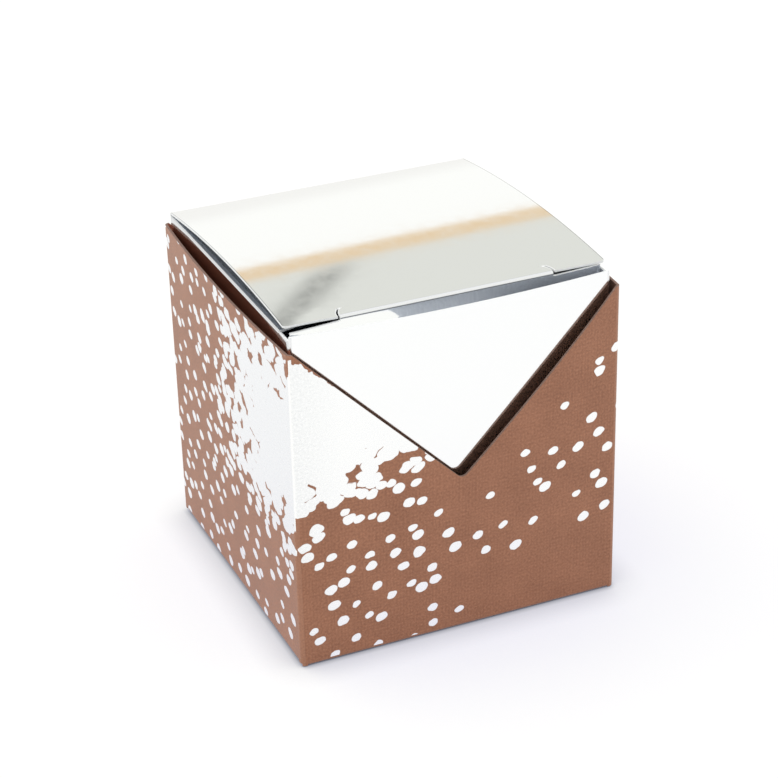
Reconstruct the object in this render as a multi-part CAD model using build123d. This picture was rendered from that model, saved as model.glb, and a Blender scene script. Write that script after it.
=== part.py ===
from build123d import *
import math
import os

# A favour box in millimetres: a carton of mirror card with a tuck lid, standing in an open-topped
# pocket of brown card whose front and back walls are cut down to a V. Every panel and flap of the
# two folded cards is a solid of its own, and neighbours meet on the mitre of the crease between them.
# Origin: middle of the underside. +X right, +Y back, +Z up. The lid turns on the carton's back wall.

# Pocket
pocket_width = 50.0  # outside, from corner to corner
pocket_depth = 50.0
pocket_height = 49.2
pocket_card = 0.4  # thickness of the brown card
pocket_crease = 0.6  # outside radius of a fold
front_bow = 2.2  # how far the front and back walls would bulge at the middle of a whole top edge
side_bow = 0.9  # how far the left and right walls bulge at the middle of the top edge
flat_foot = 0.6  # flat strip of wall above the highest crease of the bottom
notch_depth = 24.2  # from the top edge to where the sides of the V would cross
notch_tip = 1.0  # radius at the bottom of the V
notch_shoulder = 0.7  # level edge left at each corner
front_flap_gap = 1.0  # from the free edge of the bottom's outer flap to the back wall's face
side_flap_gap = 3.0  # between the free edges of the two side flaps
back_flap_length = 30.0
flap_inset = 1.0  # how far a bottom flap stops short of each wall's end
pocket_tab = 12.0  # width of the glue tab
tab_margin = 2.5  # how far a glue tab stops short of the wall's top and foot

# Carton
carton_stand = 2.1  # how far the carton's walls stand above the pocket's
carton_card = 0.35  # thickness of the mirror card
carton_crease = 0.5  # outside radius of a fold
carton_front_bow = 1.3  # how far the front wall bulges at the middle of its free top edge
carton_tab = 11.0
lid_rise = 1.3  # arch of the lid
lid_lift = 0.9  # height of the lid's front crease above the walls
lid_setback = 1.4  # from the front wall's face to the lid's front crease
lid_inset = 0.05  # how far the lid stops short of each side wall's face
tuck_length = 10.0  # tuck flap of the lid, and of the carton's bottom
tuck_tilt = 7.0  # degrees that the lid's tuck flap leans inwards
tuck_inset = 0.8  # how far a tuck flap stops short of the lid's side edge
tuck_corner = 5.0  # radius of its lower corners
slit_length = 8.0  # slit at each end of the lid's front crease
slit_setback = 0.2  # how far the lid's edge is cut back along a slit
shoulder_drop = 0.45  # from the lid's front crease to the tuck flap's shoulders
slit_hook = 2.0  # radius of the curl at the slit's end
slit_curl = 45.0  # degrees
slit_width = 0.25
dust_length = 19.0  # dust flaps, from the side wall to the free edge
dust_hinge_gap = 1.0  # from the back wall's face to the dust flap's root
dust_chamfer = 6.0  # corner cut off beside the lid's crease
dust_tuck_gap = 3.4  # from the front wall's face to the dust flap's root
flap_taper = 15.0  # degrees that the sides of flaps and tabs draw in
flap_corner = 2.0  # radius of a flap's free corners

# Clearances
slide_clearance = 0.2  # between the carton and the pocket's left wall, and its glue tab on the right
carton_gap = 0.6  # between the carton and the pocket's front and back walls
glue_line = 0.05  # between a glue tab and the walls round it
seat_gap = 0.05  # between the carton and the pocket's floor
flap_gap = 0.05  # between a dust flap and the panel that closes over it
tuck_gap = 0.3  # between the carton's lower tuck flap and the front wall
cut_margin = 1.0  # how far a cut runs past the card

# Derived
half_width = pocket_width / 2
half_depth = pocket_depth / 2
left_room = pocket_card + slide_clearance
right_room = 2 * pocket_card + glue_line + slide_clearance
half_carton = half_width - (left_room + right_room) / 2
carton_shift = (left_room - right_room) / 2  # the carton stands off centre, beside the pocket's glue tab
half_carton_depth = half_depth - pocket_card - carton_gap
floor_side = pocket_card
floor_back = 2 * pocket_card
bow_start = floor_back + pocket_crease + flat_foot
carton_foot = floor_back + pocket_card + seat_gap
carton_top = pocket_height + carton_stand
dust_top = carton_top - carton_card - flap_gap
dust_foot = carton_foot + carton_card + flap_gap
half_lid = half_carton - lid_inset
half_tuck = half_lid - tuck_inset
half_hinged = half_lid - slit_length
lid_front = lid_setback - half_carton_depth
lid_front_height = carton_top + lid_lift
tilt = math.radians(tuck_tilt)
taper = math.tan(math.radians(flap_taper))


def left_of(direction):
    return Vector(-direction.Y, direction.X)


def runs(start, end, rise):
    """Directions into a panel from its two ends."""
    chord = (end - start).normalized()
    lean = 2 * math.atan(2 * rise / (end - start).length)
    outward = left_of(chord) * -math.sin(lean)
    return chord * math.cos(lean) + outward, chord * -math.cos(lean) + outward


def panel_end(corner, run, inward, card, crease, fold):
    """Inner corner and outer edge of a panel's end: square, or mitred to half the angle of a fold."""
    if fold is None:
        return corner + inward * card, corner, None, corner
    half = fold / 2
    bisector = run * math.cos(half) + inward * math.sin(half)
    centre = corner + bisector * (crease / math.sin(half))
    outermost = centre - bisector * crease
    tangent = corner + run * (crease / math.tan(half))
    middle = centre + (outermost + tangent - centre * 2).normalized() * crease
    return corner + bisector * (card / math.sin(half)), outermost, middle, tangent


def stretch(first, middle, last, arched):
    return ThreePointArc(first, middle, last) if arched else Line(first, last)


def folded_card(corners, card, crease, rises, closed=False):
    """Sections of a folded card, one per panel. The outer face runs through the corners with the
    card on its left, and a rise arches a panel outwards."""
    points = [Vector(*corner) for corner in corners]
    if closed:
        points.append(points[0])
    ends = [runs(a, b, rise) for a, b, rise in zip(points, points[1:], rises)]
    folds = [math.radians(last.get_angle(first)) for (_, last), (first, _) in zip(ends, ends[1:])]
    closing = math.radians(ends[-1][1].get_angle(ends[0][0])) if closed else None
    folds = [closing] + folds + [closing]
    sections = []
    for i, rise in enumerate(rises):
        start, end = points[i], points[i + 1]
        first, last = ends[i]
        a_in, a_tip, a_mid, a_out = panel_end(start, first, left_of(first), card, crease, folds[i])
        b_in, b_tip, b_mid, b_out = panel_end(end, last, left_of(last) * -1, card, crease, folds[i + 1])
        inward = left_of((end - start).normalized())
        crown = (start + end) / 2 - inward * rise
        edges = [stretch(a_out, crown, b_out, rise)]
        if b_mid:
            edges.append(ThreePointArc(b_out, b_mid, b_tip))
        edges.append(Line(b_tip, b_in))
        edges.append(stretch(b_in, crown + inward * card, a_in, rise))
        edges.append(Line(a_in, a_tip))
        if a_mid:
            edges.append(ThreePointArc(a_tip, a_mid, a_out))
        sections.append(make_face(edges))
    return sections


def across_x(section, half):
    """Solid of a section in Y and Z, centred across X."""
    return extrude(Plane.YZ.offset(-half) * section, amount=2 * half, dir=(1, 0, 0))


def across_y(section, half):
    """Solid of a section in X and Z, centred across Y."""
    return extrude(Plane.XZ.offset(-half) * section, amount=2 * half, dir=(0, -1, 0))


def upright(section, foot, top):
    return extrude(Plane.XY.offset(foot) * section, amount=top - foot, dir=(0, 0, 1))


def bulging(low, high, foot, top):
    """Wall whose plan changes evenly from one height to another."""
    return loft([Plane.XY.offset(foot) * low, Plane.XY.offset(top) * high], ruled=True)


def box_plan(half_x, half_y):
    return [(-half_x, -half_y), (half_x, -half_y), (half_x, half_y), (-half_x, half_y)]


def outline(points, radius=None, rounded=()):
    """Flat shape of a flap or cut, with the numbered corners rounded."""
    shape = make_face(Polyline(*points, close=True))
    if not rounded:
        return shape
    corners = [shape.vertices().sort_by_distance((*points[i], 0))[0] for i in rounded]
    return fillet(corners, radius)


def tab_outline(root, width, low, high):
    """Glue tab in Y and Z, drawn in from its root at the back wall."""
    skew = width * taper
    return outline([(root, low), (root, high), (root - width, high - skew), (root - width, low + skew)])


# Pocket walls
bows = [front_bow, side_bow, front_bow, side_bow]
flat = [0, 0, 0, 0]
pocket_plan = box_plan(half_width, half_depth)
foot_plan = folded_card(pocket_plan, pocket_card, pocket_crease, flat, closed=True)
top_plan = folded_card(pocket_plan, pocket_card, pocket_crease, bows, closed=True)
upper_walls = [bulging(low, high, bow_start, pocket_height) for low, high in zip(foot_plan, top_plan)]
wall_feet = [upright(low, 0, bow_start) for low in foot_plan]

# Glued bottom: the back flap lies inside, then the side flaps, and the front flap covers them.
front_edge = half_depth - front_flap_gap
side_edge = -side_flap_gap / 2
back_edge = half_depth - back_flap_length
front_path = [(-half_depth, bow_start), (-half_depth, 0), (front_edge, 0)]
side_path = [(-half_width, bow_start), (-half_width, floor_side), (side_edge, floor_side)]
back_path = [(back_edge, floor_back), (half_depth, floor_back), (half_depth, bow_start)]
front_foot, front_flap = folded_card(front_path, pocket_card, pocket_crease, [0, 0])
side_foot, side_flap = folded_card(side_path, pocket_card, pocket_crease, [0, 0])
back_flap, back_foot = folded_card(back_path, pocket_card, pocket_crease, [0, 0])
flap_root = half_depth - flap_inset
flap_nose = flap_root - (half_width + side_edge) * taper
side_points = [
    (-half_width, -flap_root),
    (side_edge, -flap_nose),
    (side_edge, flap_nose),
    (-half_width, flap_root),
]
side_shape = outline(side_points, flap_corner, [1, 2])
left_flap = across_y(side_flap, half_depth) & upright(side_shape, 0, bow_start)

# V notch
notch_top = pocket_height + cut_margin
notch_reach = (half_width - notch_shoulder) * (notch_depth + cut_margin) / notch_depth
notch_points = [(-notch_reach, notch_top), (0, pocket_height - notch_depth), (notch_reach, notch_top)]
notch = across_y(outline(notch_points, notch_tip, [1]), half_depth + front_bow + cut_margin)
front_wall = upper_walls[0] + (wall_feet[0] & across_x(front_foot, half_width)) - notch
back_wall = upper_walls[2] + (wall_feet[2] & across_x(back_foot, half_width)) - notch
left_wall = upper_walls[3] + (wall_feet[3] & across_y(side_foot, half_depth))

# Pocket's glue tab, on the inside of the right wall
tab_inset = pocket_card + glue_line
tab_plan = box_plan(half_width - tab_inset, half_depth - tab_inset)
tab_low = folded_card(tab_plan, pocket_card, pocket_crease, flat, closed=True)[1]
tab_high = folded_card(tab_plan, pocket_card, pocket_crease, bows, closed=True)[1]
tab_root = half_depth - 2 * tab_inset
tab_shape = tab_outline(tab_root, pocket_tab, carton_foot + tab_margin, pocket_height - tab_margin)
pocket_tab_solid = bulging(tab_low, tab_high, bow_start, pocket_height)
pocket_tab_solid = pocket_tab_solid & across_x(tab_shape, half_width + side_bow + cut_margin)

# Carton walls, with the lid and the bottom as one strip round the back wall
carton_plan = box_plan(half_carton, half_carton_depth)
carton_low = folded_card(carton_plan, carton_card, carton_crease, flat, closed=True)
carton_high = folded_card(carton_plan, carton_card, carton_crease, [carton_front_bow, 0, 0, 0], closed=True)
carton_walls = [bulging(low, high, carton_foot, carton_top) for low, high in zip(carton_low, carton_high)]
lower_tuck = carton_card + tuck_gap - half_carton_depth
lower_tip = carton_foot + tuck_length
tuck_tip = (lid_front + tuck_length * math.sin(tilt), lid_front_height - tuck_length * math.cos(tilt))
lid_path = [
    (lower_tuck, lower_tip),
    (lower_tuck, carton_foot),
    (half_carton_depth, carton_foot),
    (half_carton_depth, carton_top),
    (lid_front, lid_front_height),
    tuck_tip,
]
lid_strip = folded_card(lid_path, carton_card, carton_crease, [0, 0, 0, lid_rise, 0])

# Lid: a slit frees each end of its front edge from the tuck flap and curls into the lid.
slit_back = lid_front + slit_setback
cut_low = carton_top - carton_card - cut_margin
cut_high = lid_front_height + lid_rise + cut_margin
cut_front = lid_front - cut_margin
cut_side = half_lid + cut_margin
end_points = [
    (half_hinged, cut_front),
    (cut_side, cut_front),
    (cut_side, slit_back),
    (half_hinged, slit_back),
]
end_cut = outline(end_points)
curl = trace(CenterArc((half_hinged - slit_hook, slit_back), slit_hook, 0, slit_curl), slit_width)
slit = upright(end_cut, cut_low, cut_high) + upright(curl, cut_low, cut_high)
lid = across_x(lid_strip[3], half_lid) - slit - slit.mirror(Plane.YZ)

# Tuck flaps
half_neck = half_hinged - slit_width
tuck_points = [
    (-half_neck, cut_margin),
    (-half_neck, -shoulder_drop),
    (-half_tuck, -shoulder_drop),
    (-half_tuck, -tuck_length),
    (half_tuck, -tuck_length),
    (half_tuck, -shoulder_drop),
    (half_neck, -shoulder_drop),
    (half_neck, cut_margin),
]
tuck_face = Vector(0, -math.cos(tilt), -math.sin(tilt))
tuck_plane = Plane((0, lid_front, lid_front_height), x_dir=(1, 0, 0), z_dir=tuck_face)
tuck_shape = extrude(tuck_plane * outline(tuck_points, tuck_corner, [3, 4]), amount=cut_margin, both=True)
lid_tuck = across_x(lid_strip[4], half_tuck) & tuck_shape
lower_foot = carton_foot - cut_margin
lower_points = [
    (-half_tuck, lower_foot),
    (half_tuck, lower_foot),
    (half_tuck, lower_tip),
    (-half_tuck, lower_tip),
]
lower_shape = across_y(outline(lower_points, tuck_corner, [2, 3]), half_carton_depth)
bottom_tuck = across_x(lid_strip[0], half_tuck) & lower_shape

# Dust flaps
dust_edge = dust_length - half_carton
dust_path = [
    (dust_edge, dust_top),
    (-half_carton, dust_top),
    (-half_carton, dust_foot),
    (dust_edge, dust_foot),
]
dust_strip = folded_card(dust_path, carton_card, carton_crease, [0, 0, 0])
dust_back = half_carton_depth - dust_hinge_gap
dust_front = dust_tuck_gap - half_carton_depth
dust_neck = dust_back - dust_chamfer
dust_points = [
    (-half_carton, dust_back),
    (-half_carton, dust_front),
    (dust_edge, dust_front + dust_length * taper),
    (dust_edge, dust_neck - (dust_length - dust_chamfer) * taper),
    (dust_chamfer - half_carton, dust_neck),
]
dust_shape = upright(outline(dust_points, flap_corner, [2, 3]), 0, carton_top)
lid_dust = across_y(dust_strip[0], half_carton_depth) & dust_shape
bottom_dust = across_y(dust_strip[2], half_carton_depth) & dust_shape
carton_left = carton_walls[3] & across_y(dust_strip[1], half_carton_depth)

# Carton's glue tab, on the inside of the right wall
inner_root = half_carton_depth - carton_card - glue_line
inner_shape = tab_outline(inner_root, carton_tab, dust_foot + tab_margin, dust_top - tab_margin)
inner_face = half_carton - carton_card - glue_line
inner_tab = extrude(Plane.YZ.offset(inner_face) * inner_shape, amount=carton_card, dir=(-1, 0, 0))

pocket_parts = {
    "pocket_front_wall": front_wall,
    "pocket_right_wall": left_wall.mirror(Plane.YZ),
    "pocket_back_wall": back_wall,
    "pocket_left_wall": left_wall,
    "pocket_glue_tab": pocket_tab_solid,
    "pocket_bottom_front_flap": across_x(front_flap, half_width - flap_inset),
    "pocket_bottom_back_flap": across_x(back_flap, half_width - flap_inset),
    "pocket_bottom_left_flap": left_flap,
    "pocket_bottom_right_flap": left_flap.mirror(Plane.YZ),
}
carton_parts = {
    "carton_front_wall": carton_walls[0],
    "carton_right_wall": carton_left.mirror(Plane.YZ),
    "carton_back_wall": carton_walls[2] & across_x(lid_strip[2], half_carton),
    "carton_left_wall": carton_left,
    "carton_glue_tab": inner_tab,
    "carton_bottom_panel": across_x(lid_strip[1], half_lid),
    "carton_bottom_tuck": bottom_tuck,
    "carton_bottom_dust_left": bottom_dust,
    "carton_bottom_dust_right": bottom_dust.mirror(Plane.YZ),
    "lid_panel": lid,
    "lid_tuck": lid_tuck,
    "lid_dust_left": lid_dust,
    "lid_dust_right": lid_dust.mirror(Plane.YZ),
}

os.makedirs("parts", exist_ok=True)
for name, part in pocket_parts.items():
    export_step(part, f"parts/{name}.step")
for name, part in carton_parts.items():
    export_step(Pos(carton_shift, 0, 0) * part, f"parts/{name}.step")
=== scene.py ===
"""Favour box: a carton of mirror card with a tuck lid, standing in an open pocket of brown card.

Each panel and flap is drawn flat in millimetres, as a die would cut it, divided, and folded into place
as a thick card with a printed face, a reverse and cut edges. A flat point is (s, w): s runs along the
folded line of the card's outer face, and w across it.
"""
import math
from functools import partialmethod
from types import SimpleNamespace

import bmesh
import bpy
import numpy as np
from mathutils import Matrix, Vector


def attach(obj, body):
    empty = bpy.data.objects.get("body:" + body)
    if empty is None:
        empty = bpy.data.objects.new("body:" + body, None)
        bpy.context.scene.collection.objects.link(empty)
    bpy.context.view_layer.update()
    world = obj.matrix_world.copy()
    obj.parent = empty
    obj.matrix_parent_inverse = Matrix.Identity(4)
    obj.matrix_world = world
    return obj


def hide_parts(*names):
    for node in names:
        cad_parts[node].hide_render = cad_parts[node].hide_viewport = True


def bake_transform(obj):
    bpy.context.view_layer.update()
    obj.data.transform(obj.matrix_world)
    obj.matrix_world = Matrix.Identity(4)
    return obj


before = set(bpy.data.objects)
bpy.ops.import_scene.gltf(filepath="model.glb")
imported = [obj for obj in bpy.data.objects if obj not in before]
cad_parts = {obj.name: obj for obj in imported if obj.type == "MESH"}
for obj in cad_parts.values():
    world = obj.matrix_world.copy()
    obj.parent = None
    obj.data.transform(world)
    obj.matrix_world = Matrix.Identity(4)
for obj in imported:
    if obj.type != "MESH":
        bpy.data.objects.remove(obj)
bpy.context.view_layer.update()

MM = 0.001
SIDES = ((1, "left"), (-1, "right"))  # factor of x that mirrors a flap, and the side's name

# Pocket, in millimetres
pocket_width = 50.0
pocket_depth = 50.0
pocket_height = 49.2
pocket_card = 0.4
pocket_crease = 0.6
front_bow = 2.2
side_bow = 0.9
bow_ease = 1.12  # how gently a bowed wall starts to lean out
flat_foot = 0.6
notch_depth = 24.2
notch_tip = 1.0
notch_shoulder = 0.7
front_flap_gap = 1.0
side_flap_gap = 3.0
back_flap_length = 30.0
flap_inset = 1.0
pocket_tab = 12.0
tab_margin = 2.5

# Carton
carton_stand = 2.1
carton_card = 0.35
carton_crease = 0.5
carton_front_bow = 1.3
carton_tab = 11.0
lid_rise = 1.3
lid_lift = 0.9
lid_setback = 1.4
lid_inset = 0.05
lid_corner = 0.6
tuck_length = 10.0
tuck_tilt = math.radians(7.0)
tuck_inset = 0.8
tuck_corner = 5.0
tuck_flare_at = (-14.0, -3.5, 16.0)  # places across the tuck flap, and how it flares there below its crease
tuck_flare_slope = (0.45, 0.02, -0.12)
tuck_flare_curl = (0.2, 0.15, 0.0)
tuck_flare_length = 1.6
tuck_flare_end = 5.0
tuck_flare_loss = 0.4  # share of the flare that is lost at the flap's ends
slit_length = 8.0
slit_setback = 0.2
shoulder_drop = 0.6
shoulder_slope = (0.35, -0.3)  # how much further the tuck flap's left and right shoulders fall by their ends
slit_hook = 2.0
slit_curl = math.radians(45.0)
slit_width = 0.25
slit_step = (-0.12, 0.06)  # how far the lid's left and right ends stand above the slits' inner sides
slit_spread = 6.0  # how far along the lid's end such a step fades out
dust_length = 19.0
dust_crease = 0.35
dust_hinge_gap = 1.0
dust_chamfer = 6.0
dust_tuck_gap = 3.4
flap_taper = math.tan(math.radians(15.0))
flap_corner = 2.0

# Clearances
slide_clearance = 0.2
carton_gap = 0.6
glue_line = 0.05
seat_gap = 0.05
flap_gap = 0.05
tuck_gap = 0.3
ear_gap = 0.12  # from a wall's end beside a flap to the line of the flap's fold

# Derived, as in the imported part
half_width = pocket_width / 2
half_depth = pocket_depth / 2
left_room = pocket_card + slide_clearance
right_room = 2 * pocket_card + glue_line + slide_clearance
half_carton = half_width - (left_room + right_room) / 2
carton_shift = (left_room - right_room) / 2
half_carton_depth = half_depth - pocket_card - carton_gap
floor_side = pocket_card
floor_back = 2 * pocket_card
bow_start = floor_back + pocket_crease + flat_foot
carton_foot = floor_back + pocket_card + seat_gap
carton_top = pocket_height + carton_stand
dust_top = carton_top - carton_card - flap_gap
dust_foot = carton_foot + carton_card + flap_gap
half_lid = half_carton - lid_inset
half_tuck = half_lid - tuck_inset
half_hinged = half_lid - slit_length
half_neck = half_hinged - slit_width / 2
lid_front = lid_setback - half_carton_depth
lid_front_height = carton_top + lid_lift
slit_back = lid_front + slit_setback
dust_edge = dust_length - half_carton

# Mesh
PANEL_SAMPLES = 401
CREASE_SAMPLES = 41
CORNER_FACETS = 8
CREASE_FACETS = 8
CREASE_MARGIN = 0.06  # narrow strip beside a fold, which keeps its shading to itself
WALL_STEP = 1.6
EDGE_SOFT = 0.03  # how far a cut edge is rounded over
SHARP = math.radians(40)
TINY = 1e-4
CUT_SNAP = 1e-5  # a line this near to a point of an outline runs through it
EDGE_ROWS = (0.25, 0.75)  # depths of a rounded edge's rows, in thicknesses of the card
LID_STEP = 1.0
FLARE_STEP = 0.25
WALL_STUB = 2.0  # how much of a wall's line is drawn beside a fold
BOW_WHOLE = 1.0  # depth below a wall's outer face over which it takes the whole bow


# Folded lines

def left_of(direction):
    return np.array([-direction[1], direction[0]])


def unit(vector):
    return vector / np.linalg.norm(vector)


def panel_line(start, end, rise):
    """Outer face of one panel, arched outwards by a rise. The card lies on its left."""
    chord = end - start
    if not rise:
        return start + np.outer(np.linspace(0, 1, PANEL_SAMPLES), chord)
    length = np.linalg.norm(chord)
    along = chord / length
    inward = left_of(along)
    radius = (length ** 2 / 4 + rise ** 2) / (2 * rise)
    half = math.asin(length / (2 * radius))
    turn = np.linspace(-half, half, PANEL_SAMPLES)
    centre = (start + end) / 2 + inward * (radius - rise)
    return centre + radius * (np.outer(np.sin(turn), along) - np.outer(np.cos(turn), inward))


def round_corner(corner, before, after, radius, samples):
    """Arc that rounds a corner between two neighbours, and how far it reaches along them."""
    into = unit(before - corner)
    out = unit(after - corner)
    half = math.acos(np.dot(into, out)) / 2
    centre = corner + unit(into + out) * radius / math.sin(half)
    reach = radius / math.tan(half)
    first = corner + into * reach - centre
    last = corner + out * reach - centre
    turn = math.pi - 2 * half
    share = np.linspace(0, 1, samples)[:, None]
    arc = (np.sin((1 - share) * turn) * first + np.sin(share * turn) * last) / math.sin(turn)
    return centre + arc, reach


def fold_between(start, end):
    return SimpleNamespace(start=start, end=end, middle=(start + end) / 2)


def folded_path(corners, crease, rises):
    """Outer face of a folded card in a plane: lengths, points, inward directions and the folds' ends."""
    corners = [np.array(corner, float) for corner in corners]
    panels = [panel_line(a, b, rise) for a, b, rise in zip(corners, corners[1:], rises)]
    lines = []
    folds = []
    count = 0
    for i, panel in enumerate(panels):
        kept = panel
        if i:
            kept = kept[np.linalg.norm(kept - corners[i], axis=1) > reach + TINY]
        if i + 1 < len(panels):
            after = panels[i + 1][1]
            arc, reach = round_corner(corners[i + 1], panel[-2], after, crease, CREASE_SAMPLES)
            kept = kept[np.linalg.norm(kept - corners[i + 1], axis=1) > reach + TINY]
            lines += [kept, arc]
            count += len(kept)
            folds.append((count, count + len(arc) - 1))
            count += len(arc)
        else:
            lines.append(kept)
    points = np.vstack(lines)
    s = np.concatenate([[0], np.cumsum(np.linalg.norm(np.diff(points, axis=0), axis=1))])
    along = np.gradient(points, s, axis=0)
    inward = np.column_stack([-along[:, 1], along[:, 0]])
    folds = [fold_between(s[a], s[b]) for a, b in folds]
    return SimpleNamespace(s=s, points=points, inward=inward, folds=folds, end=s[-1])


def on_path(path, s, depth):
    """Points at some depth below the outer face."""
    point, inward = (
        np.column_stack([np.interp(s, path.s, column) for column in values.T])
        for values in (path.points, path.inward)
    )
    return point + depth * inward / np.linalg.norm(inward, axis=1, keepdims=True)


# Ways to place a flat card, each as a function of flat points and a depth

def upright(path, bulge):
    """A wall: the path is its plan, and w its height."""
    def place(flat, depth):
        plan = on_path(path, flat[:, 0], depth)
        return bulge(np.column_stack([plan, flat[:, 1]]))
    return place


def across_x(path, shift=0.0):
    """A strip folded in Y and Z, with w across X."""
    def place(flat, depth):
        section = on_path(path, flat[:, 0], depth)
        return np.column_stack([flat[:, 1] + shift, section])
    return place


def across_y(path, side, shift=0.0):
    """A strip folded in X and Z, with w across Y. A side of -1 mirrors it to the right."""
    def place(flat, depth):
        section = on_path(path, flat[:, 0], depth)
        return np.column_stack([section[:, 0] * side + shift, flat[:, 1], section[:, 1]])
    return place


def pocket_bulge(points):
    """Bows the pocket's walls outwards towards their top edges."""
    x, y, z = points.T
    lean = np.clip((z - bow_start) / (pocket_height - bow_start), 0, None) ** bow_ease
    front = front_bow * lean * (1 - (x / half_width) ** 2) * np.clip(y / (half_depth - BOW_WHOLE), -1, 1)
    side = side_bow * lean * (1 - (y / half_depth) ** 2) * np.clip(x / (half_width - BOW_WHOLE), -1, 1)
    return np.column_stack([x + side, y + front, z])


def carton_bulge(points):
    """Bows the carton's front wall outwards towards its free top edge, and sets the carton off centre."""
    x, y, z = points.T
    lean = (z - carton_foot) / (carton_top - carton_foot)
    share = np.clip(-y / (half_carton_depth - BOW_WHOLE), 0, 1)
    front = carton_front_bow * lean * (1 - (x / half_carton) ** 2) * share
    return np.column_stack([x + carton_shift, y - front, z])


# Flat cards

def rounded(points, radii):
    """Outline with some corners rounded, by number."""
    points = [np.array(point, float) for point in points]
    out = []
    for i, corner in enumerate(points):
        if i in radii:
            after = points[(i + 1) % len(points)]
            arc, _ = round_corner(corner, points[i - 1], after, radii[i], CORNER_FACETS + 1)
            out.extend(arc)
        else:
            out.append(corner)
    return np.array(out)


def lines_between(low, high, step):
    """Evenly spaced lines between two ends, about a step apart."""
    return np.linspace(low, high, max(1, round((high - low) / step)) + 1)[1:-1]


def rectangle(s_low, s_high, w_low, w_high):
    return np.array([(s_low, w_low), (s_high, w_low), (s_high, w_high), (s_low, w_high)])


def tab_outline(fold, width, foot, low, high, top):
    """Glue tab between a low and a high end, drawn in towards its free edge. Its fold closes the corner
    from the wall's foot to its top."""
    skew = width * flap_taper
    return np.array([
        (0, low + skew), (fold.start, low), (fold.start, foot), (fold.middle, foot), (fold.middle, top),
        (fold.start, top), (fold.start, high), (0, high - skew),
    ])


def fold_lines(fold):
    ends = [fold.start - CREASE_MARGIN, fold.end + CREASE_MARGIN]
    return [*np.linspace(fold.start, fold.end, CREASE_FACETS + 1), *ends]


def panel_lines(low, high, *folds):
    """Lines close together along a panel's folds, and evenly across it."""
    return [*(line for fold in folds for line in fold_lines(fold)), *lines_between(low, high, WALL_STEP)]


def cut_blank(outline, s_lines, w_lines):
    """Flat points, faces and rim edges of an outline that is divided along lines."""
    x, y = outline.T
    if np.dot(x, np.roll(y, -1)) < np.dot(y, np.roll(x, -1)):
        outline = outline[::-1]
    flat = bmesh.new()
    flat.faces.new([flat.verts.new((s, w, 0)) for s, w in outline])
    for axis, lines in enumerate((s_lines, w_lines)):
        low, high = outline[:, axis].min() + TINY, outline[:, axis].max() - TINY
        normal = Vector((1 - axis, axis, 0))
        for value in lines:
            if low < value < high:
                geometry = flat.verts[:] + flat.edges[:] + flat.faces[:]
                plane = {"plane_co": normal * value, "plane_no": normal}
                bmesh.ops.bisect_plane(flat, geom=geometry, dist=CUT_SNAP, **plane)
    flat.verts.index_update()
    points = np.array([vert.co.xy for vert in flat.verts])
    faces = [[vert.index for vert in face.verts] for face in flat.faces]
    rim = []
    for edge in flat.edges:
        if edge.is_boundary:
            loop = edge.link_loops[0]
            rim.append((loop.vert.index, loop.link_loop_next.vert.index))
    flat.free()
    return points, faces, rim


def rim_outward(points, rim, seams):
    """Direction out of the card at each point of its rim, and zero inside it and on a seam."""
    outward = np.zeros_like(points)
    for a, b in rim:
        run = points[b] - points[a]
        normal = unit(np.array([run[1], -run[0]]))
        outward[a] += normal
        outward[b] += normal
    length = np.linalg.norm(outward, axis=1, keepdims=True)
    outward = np.divide(outward, length, out=np.zeros_like(outward), where=length > TINY)
    for axis, value in seams:
        outward[np.abs(points[:, axis] - value) < TINY] = 0
    return outward


def new_object(name, data):
    thing = bpy.data.objects.new(name, data)
    bpy.context.scene.collection.objects.link(thing)
    return thing


def make_card(node, outline, lines, place, card, seams=(), folds=(), print_origin=0.0):
    """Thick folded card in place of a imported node. A seam is a line, as (0 for s or 1 for w, value), where
    the card goes on in another piece."""
    points, faces, rim = cut_blank(outline, *lines)
    outward = rim_outward(points, rim, seams)
    faced = points - outward * EDGE_SOFT
    edge = sorted({i for pair in rim for i in pair})
    lip = {v: i for i, v in enumerate(edge)}
    layers = [place(faced, 0.0), place(faced, card.thickness)]
    layers += [place(points[edge], card.thickness * share) for share in EDGE_ROWS]
    flat = np.vstack([faced, faced, points[edge], points[edge]])
    count = len(points)
    first, second = 2 * count, 2 * count + len(edge)
    polygons = [list(face) for face in faces]
    polygons += [[count + i for i in reversed(face)] for face in faces]
    for a, b in rim:
        rows = [(a, b), (first + lip[a], first + lip[b]), (second + lip[a], second + lip[b])]
        rows.append((count + a, count + b))
        for (a_0, b_0), (a_1, b_1) in zip(rows, rows[1:]):
            polygons.append([a_0, a_1, b_1, b_0])
    vertices = np.vstack(layers) * MM
    corner, ahead, behind = (vertices[faces[0][i]] for i in (0, 1, -1))
    inward = vertices[count + faces[0][0]] - corner
    if np.dot(np.cross(ahead - corner, behind - corner), inward) > 0:
        polygons = [polygon[::-1] for polygon in polygons]
    mesh = bpy.data.meshes.new(node + "_card")
    mesh.from_pydata(vertices.tolist(), [], polygons)
    for material in card.materials:
        mesh.materials.append(material)
    slots = np.repeat([0, 1, 2], [len(faces), len(faces), 3 * len(rim)])
    mesh.polygons.foreach_set("material_index", slots)
    mesh.polygons.foreach_set("use_smooth", np.ones(len(slots), bool))
    mesh.set_sharp_from_angle(angle=SHARP)
    corners = np.zeros(len(mesh.loops), int)
    mesh.loops.foreach_get("vertex_index", corners)
    blank = mesh.uv_layers.new(name="Blank")
    blank.uv.foreach_set("vector", (flat - [print_origin, 0])[corners].ravel())
    # The listed folds take the fold colour: wear of the card, and on the foot folds painted shade, on mirror
    # creases partly a painted dim reflection.
    wear_and_shade = np.zeros(len(flat))
    for fold in folds:
        wear_and_shade[(flat[:, 0] > fold.start - TINY) & (flat[:, 0] < fold.end + TINY)] = 1
    mesh.attributes.new("wear_and_shade", "FLOAT", "POINT").data.foreach_set("value", wear_and_shade)
    piece = new_object(node + "_card", mesh)
    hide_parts(node)
    return piece


# Material nodes

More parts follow.
